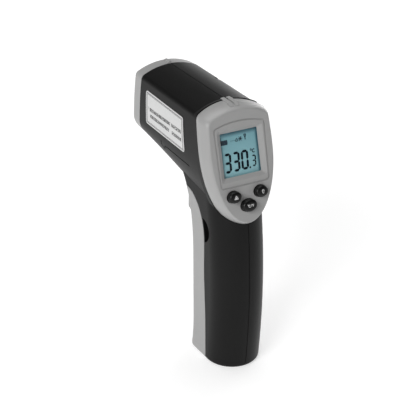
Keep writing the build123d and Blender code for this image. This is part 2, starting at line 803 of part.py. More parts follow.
blank = case_blank()
PARTS = {
    "left_shell": shell(blank, -1),
    "right_shell": shell(blank, 1),
    "nose_ring": nose_ring(),
    "aperture_plate": aperture_plate(),
    "lens": lens(),
    "lens_retainer": lens_retainer(),
    "lens_tube": lens_tube(),
    "thermopile": thermopile(),
    "sensor_board": sensor_board(),
    "sensor_screws": sensor_screws(),
    "laser_module": laser_module(),
    "laser_holder": laser_holder(),
    "rear_bezel": rear_bezel(),
    "lcd_window": lcd_window(),
    "lcd_glass": lcd_glass(),
    "lcd_backlight": lcd_backlight(),
    "zebra_strips": zebra_strips(),
    "lcd_holder": lcd_holder(),
    "main_board": main_board(),
    "board_screws": board_screws(),
    "driver_chip": driver_chip(),
    "board_components": board_components(),
    "key_switches": key_switches(),
    "trigger": trigger(),
    "trigger_pin": trigger_pin(),
    "trigger_spring": trigger_spring(),
    "trigger_switch": trigger_switch(),
    "switch_plunger": switch_plunger(),
    "trigger_board": trigger_board(),
    "battery_door": battery_door(),
    "hinge_pin": hinge_pin(),
    "battery_tray": battery_tray(),
    "battery_left": cell(-CELL_X, TRAY_Z[0] + SPRING_LENGTH, True),
    "battery_right": cell(CELL_X, TRAY_Z[0] + CONTACT, False),
    "battery_springs": battery_springs(),
    "contact_plates": contact_plates(),
    "bridge_plate": bridge_plate(),
    "case_screws": case_screws(),
    "left_label": label(-1),
    "right_label": label(1),
    "battery_leads": battery_leads(),
    "sensor_leads": sensor_leads(),
    "laser_leads": laser_leads(),
    "trigger_leads": trigger_leads(),
}
for key, (x, q, half_x, half_q) in KEYS.items():
    PARTS[f"{key}_key"] = key_cap(x, q, half_x, half_q)
    PARTS[f"{key}_plunger"] = key_plunger(x, q)

for name, shape in PARTS.items():
    shape.label = name
    export_step(shape, f"parts/{name}.step")
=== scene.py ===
import math

import bpy
import numpy as np
from mathutils import Matrix, Vector


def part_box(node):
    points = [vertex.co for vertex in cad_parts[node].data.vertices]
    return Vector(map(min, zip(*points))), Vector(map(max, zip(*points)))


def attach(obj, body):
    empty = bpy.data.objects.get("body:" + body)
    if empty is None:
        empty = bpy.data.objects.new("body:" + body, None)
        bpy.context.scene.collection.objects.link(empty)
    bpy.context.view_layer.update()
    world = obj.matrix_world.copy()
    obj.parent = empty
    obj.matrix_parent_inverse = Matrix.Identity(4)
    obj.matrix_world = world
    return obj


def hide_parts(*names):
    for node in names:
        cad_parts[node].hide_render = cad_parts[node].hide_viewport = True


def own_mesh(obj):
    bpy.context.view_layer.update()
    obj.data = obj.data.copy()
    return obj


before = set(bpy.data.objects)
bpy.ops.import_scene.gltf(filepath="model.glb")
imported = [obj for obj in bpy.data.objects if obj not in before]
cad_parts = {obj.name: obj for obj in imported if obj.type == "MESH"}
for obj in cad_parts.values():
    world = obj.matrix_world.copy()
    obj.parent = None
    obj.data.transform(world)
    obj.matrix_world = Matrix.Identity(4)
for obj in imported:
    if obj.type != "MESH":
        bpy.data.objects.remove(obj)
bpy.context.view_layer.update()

# Camera: a long lens on a stand, turned slightly about its own axis. It looks down at the back
# of the instrument from the user's left.
camera_azimuth = math.radians(30.66)
camera_elevation = math.radians(26.95)
camera_roll = math.radians(1.18)
camera_distance = 0.7805
camera_target = Vector((0.0, 0.029, 0.080))
to_camera = Vector((
    -math.sin(camera_azimuth) * math.cos(camera_elevation),
    -math.cos(camera_azimuth) * math.cos(camera_elevation),
    math.sin(camera_elevation),
))
level_right = Vector((math.cos(camera_azimuth), -math.sin(camera_azimuth), 0.0))
level_up = to_camera.cross(level_right)
camera_right = math.cos(camera_roll) * level_right + math.sin(camera_roll) * level_up
camera_up = math.cos(camera_roll) * level_up - math.sin(camera_roll) * level_right
camera_data = bpy.data.cameras.new("studio_camera")
camera_data.lens = 119.93
camera_data.sensor_width = 36.0
camera_data.shift_x = 0.0062
camera_data.shift_y = -0.0044
camera_data.clip_start = 0.05
camera_data.clip_end = 30.0
studio_camera = bpy.data.objects.new("studio_camera", camera_data)
bpy.context.collection.objects.link(studio_camera)
camera_turn = Matrix((camera_right, camera_up, to_camera)).transposed().to_4x4()
camera_place = Matrix.Translation(camera_target + camera_distance * to_camera)
studio_camera.matrix_world = camera_place @ camera_turn
bpy.context.scene.camera = studio_camera
bpy.context.scene.view_settings.view_transform = "Standard"


# Case halves: two thin black ABS mouldings with a fine spark-eroded texture, clamped together
# on the mirror plane by five screws. The texture polishes slightly where fingers rub.
class Signal:
    """One number in a material. Python arithmetic on it adds Math nodes."""

    def __init__(self, finish, socket):
        self.finish = finish
        self.socket = socket

    def math(self, operation, *others):
        return self.finish.calculate(operation, self, *others)

    def __add__(self, other):
        return self.math("ADD", other)

    def __sub__(self, other):
        return self.math("SUBTRACT", other)

    def __mul__(self, other):
        return self.math("MULTIPLY", other)

    def __truediv__(self, other):
        return self.math("DIVIDE", other)

    def __gt__(self, other):
        return self.math("GREATER_THAN", other)

    def __lt__(self, other):
        return self.math("LESS_THAN", other)

    def __rsub__(self, other):
        return self.finish.calculate("SUBTRACT", other, self)

    def __abs__(self):
        return self.math("ABSOLUTE")

    __radd__ = __add__
    __rmul__ = __mul__


class Finish:
    """A procedural material on one Principled shader."""

    def __init__(self, name, **fixed):
        self.material = bpy.data.materials.new(name)
        self.material.use_nodes = True
        self.tree = self.material.node_tree
        self.shader = self.tree.nodes["Principled BSDF"]
        for socket, value in fixed.items():
            self.shader.inputs[socket.replace("_", " ")].default_value = value

    def node(self, kind, settings=None, sockets=None):
        """Adds a node: its settings first, then the values or links of its sockets."""
        made = self.tree.nodes.new("ShaderNode" + kind)
        for name, value in (settings or {}).items():
            setattr(made, name, value)
        for key, value in (sockets or {}).items():
            self.feed(made.inputs[key], value)
        return made

    def feed(self, socket, value):
        if isinstance(value, Signal):
            value = value.socket
        if isinstance(value, bpy.types.NodeSocket):
            self.tree.links.new(value, socket)
        else:
            socket.default_value = value

    def calculate(self, operation, *values):
        made = self.node("Math", {"operation": operation}, dict(enumerate(values)))
        return Signal(self, made.outputs[0])

    def place(self):
        """Object coordinates in metres, as a vector socket."""
        return self.node("TexCoord").outputs["Object"]

    def axes(self, vector=None):
        parts = self.node("SeparateXYZ", None, {0: vector or self.place()})
        return [Signal(self, parts.outputs[i]) for i in range(3)]

    def vector(self, x, y, z):
        return self.node("CombineXYZ", None, {0: x, 1: y, 2: z}).outputs[0]

    def noise(self, scale, detail=2.0, roughness=0.5, vector=None):
        """Soft random clouds from 0 to 1; the scale is in clouds per metre."""
        sockets = {"Scale": scale, "Detail": detail, "Roughness": roughness}
        made = self.node("TexNoise", None, {"Vector": vector or self.place(), **sockets})
        return Signal(self, made.outputs[0])

    def between(self, value, low, high):
        """0 at low, 1 at high, smooth in between."""
        sockets = {0: value, 1: low, 2: high, 3: 0.0, 4: 1.0}
        made = self.node("MapRange", {"interpolation_type": "SMOOTHSTEP"}, sockets)
        return Signal(self, made.outputs[0])

    def mix(self, factor, first, second):
        """The first colour where the factor is 0, the second where it is 1."""
        made = self.node("Mix", {"data_type": "RGBA"}, {0: factor, 6: first, 7: second})
        return made.outputs[2]

    def bump(self, height, distance):
        """Raises the surface by the distance where the height is 1."""
        made = self.node("Bump", None, {"Distance": distance, "Height": height})
        self.feed(self.shader.inputs["Normal"], made.outputs[0])

    def set(self, **sockets):
        for name, value in sockets.items():
            self.feed(self.shader.inputs[name.replace("_", " ")], value)

    def wear(self, *nodes):
        """Puts the finish on CAD nodes."""
        for name in nodes:
            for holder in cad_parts[name].material_slots:
                holder.material = self.material


def shade(level, tint=(1.0, 1.0, 1.0)):
    """A colour from a grey level and a tint."""
    return (level * tint[0], level * tint[1], level * tint[2], 1.0)


def moulded_plastic(name, dark, light, roughness, grain=0.00002):
    """Moulded ABS: a fine spark-eroded grain, faint flow clouds and polish from handling."""
    finish = Finish(name)
    grain_height = finish.noise(2600.0, 2.0, 0.6)
    flow_clouds = finish.noise(38.0, 3.0, 0.55)
    rubbed = finish.noise(14.0, 2.0, 0.5)
    finish.set(
        Base_Color=finish.mix(flow_clouds, dark, light),
        Roughness=roughness + 0.10 * (grain_height - 0.5) - 0.10 * (rubbed - 0.5),
    )
    finish.bump(grain_height, grain)
    return finish


case_black = moulded_plastic("case_black", shade(0.0045), shade(0.0065), roughness=0.42)
case_black.shader.inputs["Specular IOR Level"].default_value = 0.15
case_black.wear("left_shell", "right_shell")


# Case screws: five self-tapping steel screws hold the halves together, sunk in counterbores on
# the right side. They and the smaller board screws are cold-headed and plated with zinc.
zinc_plate = Finish("zinc_plate", Metallic=1.0)
turning_marks = zinc_plate.noise(900.0, 2.0)
zinc_plate.set(
    Base_Color=zinc_plate.mix(turning_marks, shade(0.20), shade(0.34, (1.0, 0.99, 0.96))),
    Roughness=0.28 + 0.2 * turning_marks,
)
zinc_plate.wear("case_screws", "board_screws", "sensor_screws")


# Grey trim: the nose ring and the display bezel, moulded in satin light-grey ABS with a finer
# grain than the case. The ring sits on a spigot, the bezel in a seat round the case's opening.
faintly_warm = (1.0, 0.995, 0.985)
trim_grey = moulded_plastic(
    "trim_grey", shade(0.305), shade(0.345, faintly_warm), roughness=0.40, grain=0.000012
)
trim_grey.wear("nose_ring", "rear_bezel")


# Battery door and trigger: the same grey ABS, a little duller where the hand holds it. Each
# turns on a steel pin that runs across the grip.
door_grey = moulded_plastic(
    "door_grey", shade(0.31), shade(0.35, faintly_warm), roughness=0.46, grain=0.000016
)
door_grey.wear("battery_door", "trigger")


# Front plate, lens tube, retaining ring and laser holder: matte black mouldings that keep stray
# light off the sensor. The battery tray in the grip is moulded in the same black.
baffle_black = moulded_plastic(
    "baffle_black", shade(0.008), shade(0.014), roughness=0.66, grain=0.00004
)
baffle_black.wear("aperture_plate", "lens_tube", "lens_retainer", "laser_holder", "battery_tray")


# Infrared lens: a milky polyethylene disc, pressed with the fine concentric grooves of a
# Fresnel lens. The retaining ring holds it in the front of the lens tube.
def plain_box(node):
    """The low and high corners of a node's box, as plain numbers."""
    return [[float(v) for v in corner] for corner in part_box(node)]


lens_low, lens_high = plain_box("lens")
lens_axis_z = (lens_low[2] + lens_high[2]) / 2


def axis_distance(x, z):
    """Distance from the lens axis, which runs along Y in the mirror plane."""
    rise = z - lens_axis_z
    return (x * x + rise * rise).math("SQRT")


cream = (1, 0.98, 0.93)
groove_pitch = 0.00045
milky_lens = Finish("milky_lens", Roughness=0.3, Alpha=0.9)
lens_x, _, lens_z = milky_lens.axes()
grooves = (axis_distance(lens_x, lens_z) / groove_pitch).math("FRACT")
milky_lens.set(Base_Color=milky_lens.mix(grooves, shade(0.50, cream), shade(0.62, cream)))
milky_lens.bump(grooves, 0.00006)
milky_lens.wear("lens")


# Infrared sensor: a drawn steel can, plated with nickel, with a dark silicon window in its
# front. It is soldered to a small board of its own behind the lens tube.
can_window_radius = 0.0023
can_window_depth = 0.0005
can_front = plain_box("thermopile")[1][1]
nickel_can = Finish("nickel_can", Metallic=1.0)
can_x, can_y, can_z = nickel_can.axes()
near_axis = axis_distance(can_x, can_z) < can_window_radius
in_window = near_axis * (can_y > can_front - can_window_depth)
scuffs = nickel_can.noise(700.0, 3.0)
nickel_colour = nickel_can.mix(scuffs, shade(0.55, cream), shade(0.72, cream))
nickel_can.set(
    Base_Color=nickel_can.mix(in_window, nickel_colour, shade(0.03)),
    Roughness=0.18 + 0.2 * scuffs,
)
nickel_can.wear("thermopile")


# Laser module: a brass barrel turned on a lathe, which leaves fine rings along its length. It
# is pushed into the holder above the lens tube.
lathe_feed = 9000.0
turned_brass = Finish("turned_brass", Metallic=1.0)
_, brass_y, _ = turned_brass.axes()
lathe_rings = (brass_y * lathe_feed).math("SINE") * 0.5 + 0.5
tarnish = turned_brass.noise(260.0, 3.0)
turned_brass.set(
    Base_Color=turned_brass.mix(tarnish, (0.62, 0.42, 0.16, 1), (0.80, 0.60, 0.27, 1)),
    Roughness=0.22 + 0.16 * tarnish,
)
turned_brass.bump(lathe_rings, 0.00002)
turned_brass.wear("laser_module")


# Circuit boards: glass-fibre boards with copper tracks under green solder mask. The tracks
# stand slightly proud and show lighter through the mask.
track_threshold = 0.72
solder_mask = Finish("solder_mask", Coat_Weight=0.3, Coat_Roughness=0.2)
track_wave = solder_mask.node(
    "TexWave",
    {"bands_direction": "DIAGONAL"},
    {
        "Vector": solder_mask.place(),
        "Scale": 260.0,
        "Distortion": 9.0,
        "Detail": 2.0,
        "Detail Scale": 1.2,
    },
)
tracks = Signal(solder_mask, track_wave.outputs["Fac"]) > track_threshold
mask_clouds = solder_mask.noise(120.0, 2.0)
mask_green = solder_mask.mix(mask_clouds, (0.008, 0.075, 0.026, 1), (0.012, 0.105, 0.038, 1))
solder_mask.set(
    Base_Color=solder_mask.mix(tracks, mask_green, (0.03, 0.19, 0.075, 1)),
    Roughness=0.34 + 0.12 * mask_clouds,
)
solder_mask.bump(tracks, 0.00003)
solder_mask.wear("main_board", "sensor_board", "trigger_board")


# Chip and small components, soldered to the main board: moulded black epoxy for the chip, and
# brown ceramic bodies on the left and dark blue ones on the right.
epoxy_black = Finish("epoxy_black")
epoxy_ripple = epoxy_black.noise(420.0, 2.0)
epoxy_black.set(
    Base_Color=epoxy_black.mix(epoxy_ripple, shade(0.006), shade(0.016)),
    Roughness=0.22 + 0.25 * epoxy_ripple,
)
epoxy_black.bump(epoxy_ripple, 0.00008)
epoxy_black.wear("driver_chip")
component_bodies = Finish("component_bodies")
component_x, _, _ = component_bodies.axes()
speckle = component_bodies.noise(1500.0, 2.0)
ceramic_brown = component_bodies.mix(speckle, (0.05, 0.022, 0.012, 1), (0.11, 0.05, 0.025, 1))
dipped_blue = component_bodies.mix(speckle, (0.02, 0.03, 0.06, 1), (0.035, 0.05, 0.10, 1))
component_bodies.set(
    Base_Color=component_bodies.mix(component_x > 0.0, ceramic_brown, dipped_blue),
    Roughness=0.3 + 0.2 * speckle,
)
component_bodies.wear("board_components")


# Display holder and backlight: a white moulded frame, and behind the glass a slab of frosted
# acrylic that spreads the light of the lamp.
frosted_white = Finish("frosted_white")
frost = frosted_white.noise(1600.0, 2.0)
frosted_white.set(
    Base_Color=frosted_white.mix(frost, shade(0.66), shade(0.78)),
    Roughness=0.5 + 0.15 * frost,
)
frosted_white.bump(frost, 0.00002)
frosted_white.wear("lcd_holder", "lcd_backlight")


# Zebra strips: silicone rubber with alternate conducting and insulating layers, squeezed
# between the display glass and the board to join their contacts.
layer_pitch = 0.0002
zebra_layers = Finish("zebra_layers", Roughness=0.7)
zebra_x, _, _ = zebra_layers.axes()
insulating = (zebra_x / layer_pitch).math("FRACT") > 0.5
zebra_layers.set(
    Base_Color=zebra_layers.mix(insulating, (0.03, 0.02, 0.02, 1), (0.45, 0.12, 0.15, 1))
)
zebra_layers.wear("zebra_strips")


# Display: a reflective liquid-crystal glass over a teal backlight, lighter at its foot and
# shaded by the funnel at its top and sides. The holder clamps it on the zebra strips.
face_tilt = math.radians(15.34)
face_origin = np.array([0.0, 0.0096, 0.152])
face_up = np.array([0.0, math.sin(face_tilt), math.cos(face_tilt)])
face_out = np.array([0.0, -math.cos(face_tilt), math.sin(face_tilt)])
glass_low, glass_high = plain_box("lcd_glass")
glass_foot, glass_top = glass_low[2], glass_high[2]
glass_middle_x = 0.0004
lcd_teal = Finish("lcd_teal", Roughness=0.22)
lcd_x, _, lcd_z = lcd_teal.axes()
from_foot = lcd_teal.between(lcd_z, glass_foot + 0.004, glass_top - 0.002)
side_shadow = lcd_teal.between(abs(lcd_x - glass_middle_x), 0.0098, 0.0114)
top_shadow = lcd_teal.between(lcd_z, glass_top - 0.0044, glass_top - 0.0019)
edge_shadow = lcd_teal.calculate("MAXIMUM", side_shadow, top_shadow)
cell_grain = lcd_teal.noise(2400.0, 2.0, 0.6)
teal_base = lcd_teal.mix(from_foot, (0.226, 0.436, 0.480, 1), (0.160, 0.345, 0.392, 1))
teal_shaded = lcd_teal.mix(edge_shadow, teal_base, (0.04, 0.115, 0.15, 1))
teal_grained = lcd_teal.mix(0.10 * cell_grain, teal_shaded, (0.40, 0.60, 0.66, 1))
lcd_teal.set(Base_Color=teal_grained, Emission_Color=teal_grained, Emission_Strength=0.12)
lcd_teal.wear("lcd_glass")


# Display reading: liquid-crystal segments, nearly black, just under the top glass. Three large
# figures, a small decimal figure and a degree sign. All of them are etched into one layer.
def on_face(x, q, depth):
    """Points of the display face: x across it, q up it from the crown, depth outwards."""
    x, q, depth = np.broadcast_arrays(x, q, depth)
    sideways = x[..., None] * np.array([1.0, 0.0, 0.0])
    return face_origin + sideways + q[..., None] * face_up + depth[..., None] * face_out


def grid_mesh(name, grids, body, smooth=False):
    """One object from several grids of points; neighbouring points make its quads."""
    corners = []
    quads = []
    first = 0
    for grid in grids:
        rows, columns = grid.shape[:2]
        index = first + np.arange(rows * columns).reshape(rows, columns)
        around_cell = [index[:-1, :-1], index[:-1, 1:], index[1:, 1:], index[1:, :-1]]
        corners.append(grid.reshape(-1, 3))
        quads.append(np.stack(around_cell, axis=-1).reshape(-1, 4))
        first += rows * columns
    mesh = bpy.data.meshes.new(name)
    mesh.from_pydata(np.concatenate(corners).tolist(), [], np.concatenate(quads).tolist())
    mesh.polygons.foreach_set("use_smooth", np.full(len(mesh.polygons), smooth))
    mesh.update()
    piece = bpy.data.objects.new(name, mesh)
    bpy.context.collection.objects.link(piece)
    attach(piece, body)
    return piece


def stroke(start, end, width, point=0.5):
    """A flat bar between two places on the face, in millimetres.

    Along it, the half width is width / 2, falling to nothing over the last `point` widths;
    across it, the points run from one side to the other.
    """
    start = np.array(start, float)
    end = np.array(end, float)
    length = np.linalg.norm(end - start)
    along = (end - start) / length
    across = np.array([-along[1], along[0]])
    tip = point * width
    travel = np.array([0.0, tip, length - tip, length])
    half = np.array([0.02, 0.5, 0.5, 0.02]) * width
    offset = half[:, None] * np.array([1.0, -1.0])
    return start + travel[:, None, None] * along + offset[..., None] * across


def arc_stroke(centre, radius, low, high, width):
    """A flat curved bar: an arc of the radius, with the width shared between its two sides."""
    angle = np.radians(np.linspace(low, high, 13))[:, None]
    reach = radius + np.array([-0.5, 0.5])[None, :] * width
    return np.stack(
        [centre[0] + reach * np.cos(angle), centre[1] + reach * np.sin(angle)], axis=-1
    )


def printed(strokes, depth):
    """Strokes lifted from millimetres on the face to points at a depth."""
    return [on_face(flat[..., 0] * 0.001, flat[..., 1] * 0.001, depth) for flat in strokes]


# The bars that each figure lights: a, g and d are level, the others upright.
lit_bars = {"0": "abcdef", "3": "abcdg"}


def figure(character, left, foot, width, height, bar, lean=0.35):
    """One figure: level bars at three heights, joined by uprights on both sides.

    Each end moves sideways by the lean times its height above the foot, over the full height.
    """
    gap = 0.06 * bar
    middle = foot + height / 2
    top = foot + height
    right = left + width
    ends = {
        "a": ((left, top), (right, top)),
        "g": ((left, middle), (right, middle)),
        "d": ((left, foot), (right, foot)),
        "b": ((right, top), (right, middle)),
        "c": ((right, middle), (right, foot)),
        "f": ((left, top), (left, middle)),
        "e": ((left, middle), (left, foot)),
    }
    bars = []
    for key in lit_bars[character]:
        start, end = np.array(ends[key])
        clearance = (end - start) / np.linalg.norm(end - start) * gap
        start_slant = np.array([lean * (start[1] - foot) / height, 0.0])
        end_slant = np.array([lean * (end[1] - foot) / height, 0.0])
        bars.append(stroke(start + clearance + start_slant, end - clearance + end_slant, bar))
    return bars


figure_foot = -37.0
point_height = figure_foot - 0.1
reading = []
for character, left in (("3", -9.35), ("3", -4.1), ("0", 1.2)):
    reading += figure(character, left, figure_foot, width=3.2, height=9.3, bar=1.35)
reading.append(stroke((5.25, point_height), (6.25, point_height), 1.0, 0.15))
reading += figure("3", 7.4, figure_foot + 0.5, width=1.9, height=5.4, bar=0.8, lean=0.2)
degree_ring = arc_stroke((7.2, -27.7), 0.45, 0, 360, 0.34)
unit_letter = arc_stroke((8.9, -28.5), 0.85, 50, 310, 0.5)
reading += [degree_ring, unit_letter]
segment_depth = 0.00738
reading_piece = grid_mesh("display_reading", printed(reading, segment_depth), "case")
segment_ink = Finish("segment_ink")
ink_grain = segment_ink.noise(1800.0, 2.0)
segment_ink.set(
    Base_Color=segment_ink.mix(ink_grain, (0.0005, 0.004, 0.009, 1), (0.002, 0.008, 0.014, 1)),
    Roughness=0.25 + 0.1 * ink_grain,
)
segment_ink.shader.inputs["Specular IOR Level"].default_value = 0.1
reading_piece.data.materials.append(segment_ink.material)


# Status marks: a row of smaller segments in the same layer above the figures, a little fainter.
# They are a bar, four dashes, a warning triangle with a burst, and a lamp.
def triangle(left, right, base, tip, width, drop=0.0):
    """Three bars: a level base, and two sides that start the drop under it and meet at the tip."""
    return [
        stroke((left, base), (right, base), width, 0.2),
        stroke((left, base - drop), tip, width, 0.2),
        stroke((right, base - drop), tip, width, 0.2),
    ]


status_bar = stroke((-11.2, -21.1), (-6.3, -21.1), 2.6, 0.08)
burst_centre = np.array([1.5, -20.6])
spoke_angles = np.radians(np.arange(0, 360, 60))
spokes = 1.45 * np.stack([np.cos(spoke_angles), np.sin(spoke_angles)], axis=-1)
burst = [stroke(burst_centre, burst_centre + spoke, 0.42, 0.3) for spoke in spokes]
warning = triangle(-1.5, 0.0, -21.6, (-0.75, -19.9), 0.34)
lamp_shade = triangle(3.8, 5.2, -18.8, (4.5, -20.5), 0.5)
lamp_stem = stroke((4.5, -20.3), (4.5, -21.7), 0.55, 0.2)
dash_row = -20.9
dash_length = 0.55
dashes = [
    stroke((x, dash_row), (x + dash_length, dash_row), 0.3, 0.2) for x in (-4.6, -3.7, -2.6, -1.7)
]
status_marks = [status_bar] + burst + warning + lamp_shade + [lamp_stem] + dashes
marks_piece = grid_mesh("display_marks", printed(status_marks, segment_depth), "case")
faint_ink = Finish("faint_ink")
faint_grain = faint_ink.noise(1800.0, 2.0)
faint_ink.set(
    Base_Color=faint_ink.mix(faint_grain, (0.003, 0.018, 0.034, 1), (0.008, 0.034, 0.058, 1)),
    Roughness=0.25 + 0.1 * faint_grain,
)
marks_piece.data.materials.append(faint_ink.material)


# Display window: a clear acrylic plate, almost invisible, with faint marks from wiping. It is
# set in the bezel from behind.
clear_acrylic = Finish("clear_acrylic", Alpha=0.03)
wipe_marks = clear_acrylic.noise(90.0, 3.0)
clear_acrylic.set(
    Base_Color=clear_acrylic.mix(wipe_marks, shade(0.02), shade(0.05)),
    Roughness=0.04 + 0.10 * wipe_marks,
)
clear_acrylic.wear("lcd_window")


# Keys: three oval black keys with a soft satin skin and a white sign printed on each crown.
# They slide through holes in the bezel, each on its own switch.
key_black = moulded_plastic(
    "key_black", shade(0.003), shade(0.005), roughness=0.34, grain=0.000012
)
key_black.shader.inputs["Specular IOR Level"].default_value = 0.25
key_black.wear("laser_key", "units_key", "backlight_key")
sign_white = Finish("sign_white")
sign_wear = sign_white.noise(1300.0, 3.0)
sign_white.set(
    Base_Color=sign_white.mix(sign_wear, shade(0.62), shade(0.84)),
    Roughness=0.45 + 0.2 * sign_wear,
)
key_crown = 0.013825


def key_sign(name, strokes, centre, scale, body):
    """White strokes on a key's crown: each is scaled, then moved to the key's centre."""
    placed = [np.array(centre) + scale * flat for flat in strokes]
    sign = grid_mesh(name, printed(placed, key_crown), body)
    sign.data.materials.append(sign_white.material)


laser_strokes = triangle(-1.25, 1.25, -0.85, (0.0, 1.15), 0.34, drop=0.05)
laser_strokes.append(arc_stroke((0.0, -0.15), 0.22, 0, 360, 0.42))
lamp_strokes = [
    arc_stroke((0.0, 0.35), 0.62, -50, 230, 0.3),
    stroke((-0.38, -0.25), (-0.3, -0.85), 0.28, 0.2),
    stroke((0.38, -0.25), (0.3, -0.85), 0.28, 0.2),
    stroke((-0.32, -0.95), (0.32, -0.95), 0.3, 0.2),
]
unit_strokes = [
    arc_stroke((-2.05, 0.75), 0.24, 0, 360, 0.18),
    arc_stroke((-1.05, 0.0), 0.72, 45, 315, 0.3),
    stroke((-0.35, -0.85), (0.25, 0.85), 0.24, 0.2),
    arc_stroke((0.75, 0.75), 0.24, 0, 360, 0.18),
    stroke((1.35, -0.8), (1.35, 0.8), 0.3, 0.2),
    stroke((1.3, 0.7), (2.2, 0.7), 0.3, 0.2),
    stroke((1.3, 0.0), (1.95, 0.0), 0.28, 0.2),
]
key_sign("laser_sign", laser_strokes, (-8.3, -50.0), 0.95, "laser_key")
key_sign("lamp_sign", lamp_strokes, (8.3, -50.0), 0.95, "backlight_key")
key_sign("unit_sign", unit_strokes, (0.0, -56.1), 0.85, "units_key")


# Switches under the keys and the trigger: black moulded housings soldered to their boards, with
# red-brown plungers that the keys and the trigger push.
switch_black = moulded_plastic(
    "switch_black", shade(0.010), shade(0.020), roughness=0.5, grain=0.00002
)
switch_black.wear("key_switches", "trigger_switch")
plunger_red = moulded_plastic(
    "plunger_red", (0.16, 0.02, 0.014, 1), (0.22, 0.03, 0.02, 1), roughness=0.4
)
plunger_red.wear("laser_plunger", "units_plunger", "backlight_plunger", "switch_plunger")


# Pins: plain drawn steel, one for the trigger and one for the battery door, held in ears of the
# case. The drawing leaves fine lines along them.
pin_steel = Finish("pin_steel", Metallic=1.0)
pin_x, pin_y, pin_z = pin_steel.axes()
drawn_out = pin_steel.vector(pin_x * 60.0, pin_y * 3000.0, pin_z * 3000.0)
drawn_lines = pin_steel.noise(1.0, 2.0, 0.5, drawn_out)
pin_steel.set(
    Base_Color=pin_steel.mix(drawn_lines, shade(0.45), shade(0.60)),
    Roughness=0.2 + 0.2 * drawn_lines,
)
pin_steel.wear("trigger_pin", "hinge_pin")


# Springs: round steel wire wound in a helix with closed end turns. One pushes the trigger out,
# and one presses each cell against its contact.
def helix(centre, radius, wire, low, high, turns):
    """A coil of round wire.

    The path's angle grows evenly. Its height climbs evenly too, but rests at both ends, so the
    end turns lie flat. Each ring of the tube stands square to the path and shrinks at the ends.
    """
    steps_per_turn = 28
    resting = 0.06
    steps = int(turns * steps_per_turn)
    t = np.linspace(0.0, 1.0, steps + 1)
    angle = 2 * math.pi * turns * t
    climb = np.clip((t - resting) / (1.0 - 2 * resting), 0.0, 1.0)
    height = low + wire + (high - low - 2 * wire) * climb
    outward = np.stack([np.cos(angle), np.sin(angle), np.zeros_like(angle)], axis=-1)
    path = np.array([centre[0], centre[1], 0.0]) + radius * outward
    path[:, 2] = height
    forward = np.gradient(path, axis=0)
    forward /= np.linalg.norm(forward, axis=1)[:, None]
    upward = np.cross(forward, outward)
    around = np.linspace(0.0, 2 * math.pi, 11)[None, :, None]
    ring = np.cos(around) * outward[:, None, :] + np.sin(around) * upward[:, None, :]
    taper = np.ones(steps + 1)
    taper[[0, -1]] = 0.02
    return path[:, None, :] + wire * taper[:, None, None] * ring


spring_steel = Finish("spring_steel", Metallic=1.0)
wire_lines = spring_steel.noise(1600.0, 2.0)
spring_steel.set(
    Base_Color=spring_steel.mix(wire_lines, shade(0.48), shade(0.66)),
    Roughness=0.22 + 0.15 * wire_lines,
)


def coil_spring(name, body, coils):
    """Helices as closed tubes in one piece, with their doubled seams merged."""
    spring = grid_mesh(name, coils, body, smooth=True)
    weld = spring.modifiers.new("weld", "WELD")
    weld.merge_threshold = 0.000005
    spring.data.materials.append(spring_steel.material)
    return spring


trigger_low, trigger_high = plain_box("trigger_spring")
trigger_middle = ((trigger_low[0] + trigger_high[0]) / 2, (trigger_low[1] + trigger_high[1]) / 2)
trigger_turns = helix(trigger_middle, 0.00172, 0.00026, trigger_low[2], trigger_high[2], turns=7.5)
trigger_coil = coil_spring("trigger_coil", "case", [trigger_turns])
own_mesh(trigger_coil)
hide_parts("trigger_spring")
cell_low, cell_high = plain_box("battery_left")
pocket_low, pocket_high = plain_box("battery_springs")
cell_x = (cell_low[0] + cell_high[0]) / 2
cell_y = (cell_low[1] + cell_high[1]) / 2
spring_length = cell_low[2] - pocket_low[2]
cell_turns = [
    helix((x, cell_y), 0.0030, 0.00034, foot, foot + spring_length, turns=3.5)
    for x, foot in ((cell_x, pocket_low[2]), (-cell_x, pocket_high[2] - spring_length))
]
cell_coils = coil_spring("battery_coils", "case", cell_turns)
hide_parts("battery_springs")


# Battery contacts: spring strip plated with nickel, pressed to shape and slightly rippled. The
# plates stand in slots of the tray, and the bridge joins the two cells.
nickel_strip = Finish("nickel_strip", Metallic=1.0)
strip_ripple = nickel_strip.noise(500.0, 2.0)
plated = (1, 0.99, 0.95)
nickel_strip.set(
    Base_Color=nickel_strip.mix(strip_ripple, shade(0.55, plated), shade(0.72, plated)),
    Roughness=0.22 + 0.18 * strip_ripple,
)
nickel_strip.wear("contact_plates", "bridge_plate")


# Cells: two AAA cells in printed sleeves, with bare metal ends. The sleeve is dark blue with
# one plain copper-coloured band near its upper end.
cell_sleeve = Finish("cell_sleeve", Coat_Weight=0.4, Coat_Roughness=0.12)
_, _, sleeve_z = cell_sleeve.axes()
sleeve_foot = cell_low[2] + 0.0012
sleeve_top = cell_high[2] - 0.0022
on_end = cell_sleeve.calculate("MAXIMUM", sleeve_z < sleeve_foot, sleeve_z > sleeve_top)
in_band = (sleeve_z > sleeve_top - 0.012) * (sleeve_z < sleeve_top - 0.002)
print_grain = cell_sleeve.noise(900.0, 2.0)
sleeve_blue = cell_sleeve.mix(print_grain, (0.012, 0.03, 0.10, 1), (0.02, 0.045, 0.14, 1))
sleeve_colour = cell_sleeve.mix(in_band, sleeve_blue, (0.42, 0.20, 0.08, 1))
cell_sleeve.set(
    Base_Color=cell_sleeve.mix(on_end, sleeve_colour, shade(0.55)),
    Metallic=on_end,
    Roughness=0.25 + 0.1 * print_grain,
)
cell_sleeve.wear("battery_left", "battery_right")


